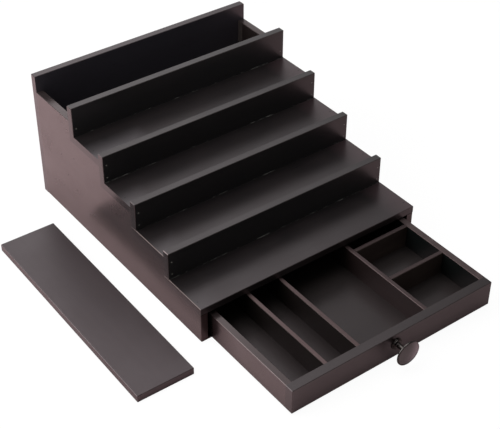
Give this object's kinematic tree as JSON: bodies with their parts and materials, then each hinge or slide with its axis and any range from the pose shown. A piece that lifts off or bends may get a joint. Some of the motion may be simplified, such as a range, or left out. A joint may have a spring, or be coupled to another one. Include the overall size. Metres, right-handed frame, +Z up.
{
  "type": "stepped cologne organizer",
  "caption": "Stepped dark wooden display organizer with raised tier lips, a divided drawer with a round knob and a hidden compartment whose lid lies beside it.",
  "frame": {"origin": "middle of the underside of the case, at table height", "axes": "+Z up, -Y out of the front in the direction in which the drawer opens, +X to the right seen from the front"},
  "size_m": [0.402, 0.5014, 0.166],
  "materials": {
    "lacquered_wood": "satin black-brown lacquer",
    "knob_metal": "dark bronze, satin",
    "screw_steel": "zinc-plated",
    "brad_steel": "lacquered over"
  },
  "bodies": {
    "case": {"bottom_panel": "lacquered_wood", "left_side_panel": "lacquered_wood", "right_side_panel": "lacquered_wood", "back_panel": "lacquered_wood", "compartment_wall": "lacquered_wood", "tread_1": "lacquered_wood", "tread_2": "lacquered_wood", "tread_3": "lacquered_wood", "tread_4": "lacquered_wood", "riser_1": "lacquered_wood", "riser_2": "lacquered_wood", "riser_3": "lacquered_wood", "riser_4": "lacquered_wood", "riser_brads": "brad_steel", "tread_brads": "brad_steel", "wall_brads": "brad_steel", "back_brads": "brad_steel"},
    "drawer": {"drawer_front": "lacquered_wood", "drawer_left_side": "lacquered_wood", "drawer_right_side": "lacquered_wood", "drawer_back": "lacquered_wood", "drawer_bottom": "lacquered_wood", "long_divider_1": "lacquered_wood", "long_divider_2": "lacquered_wood", "long_divider_3": "lacquered_wood", "cross_divider_1": "lacquered_wood", "cross_divider_2": "lacquered_wood", "cross_divider_3": "lacquered_wood", "drawer_knob": "knob_metal", "knob_screw": "screw_steel", "knob_washer": "screw_steel", "drawer_brads": "brad_steel"},
    "lid": {"compartment_lid": "lacquered_wood"}
  },
  "joints": [
    {"name": "drawer_slide", "type": "slide", "parent": "case", "child": "drawer", "axis": [0, -1, 0], "range_m": [-0.14, 0.088]},
    {"name": "lid_lift", "type": "slide", "parent": "case", "child": "lid", "axis": [0, 0, 1], "range_m": [0, 0.2]}
  ]
}
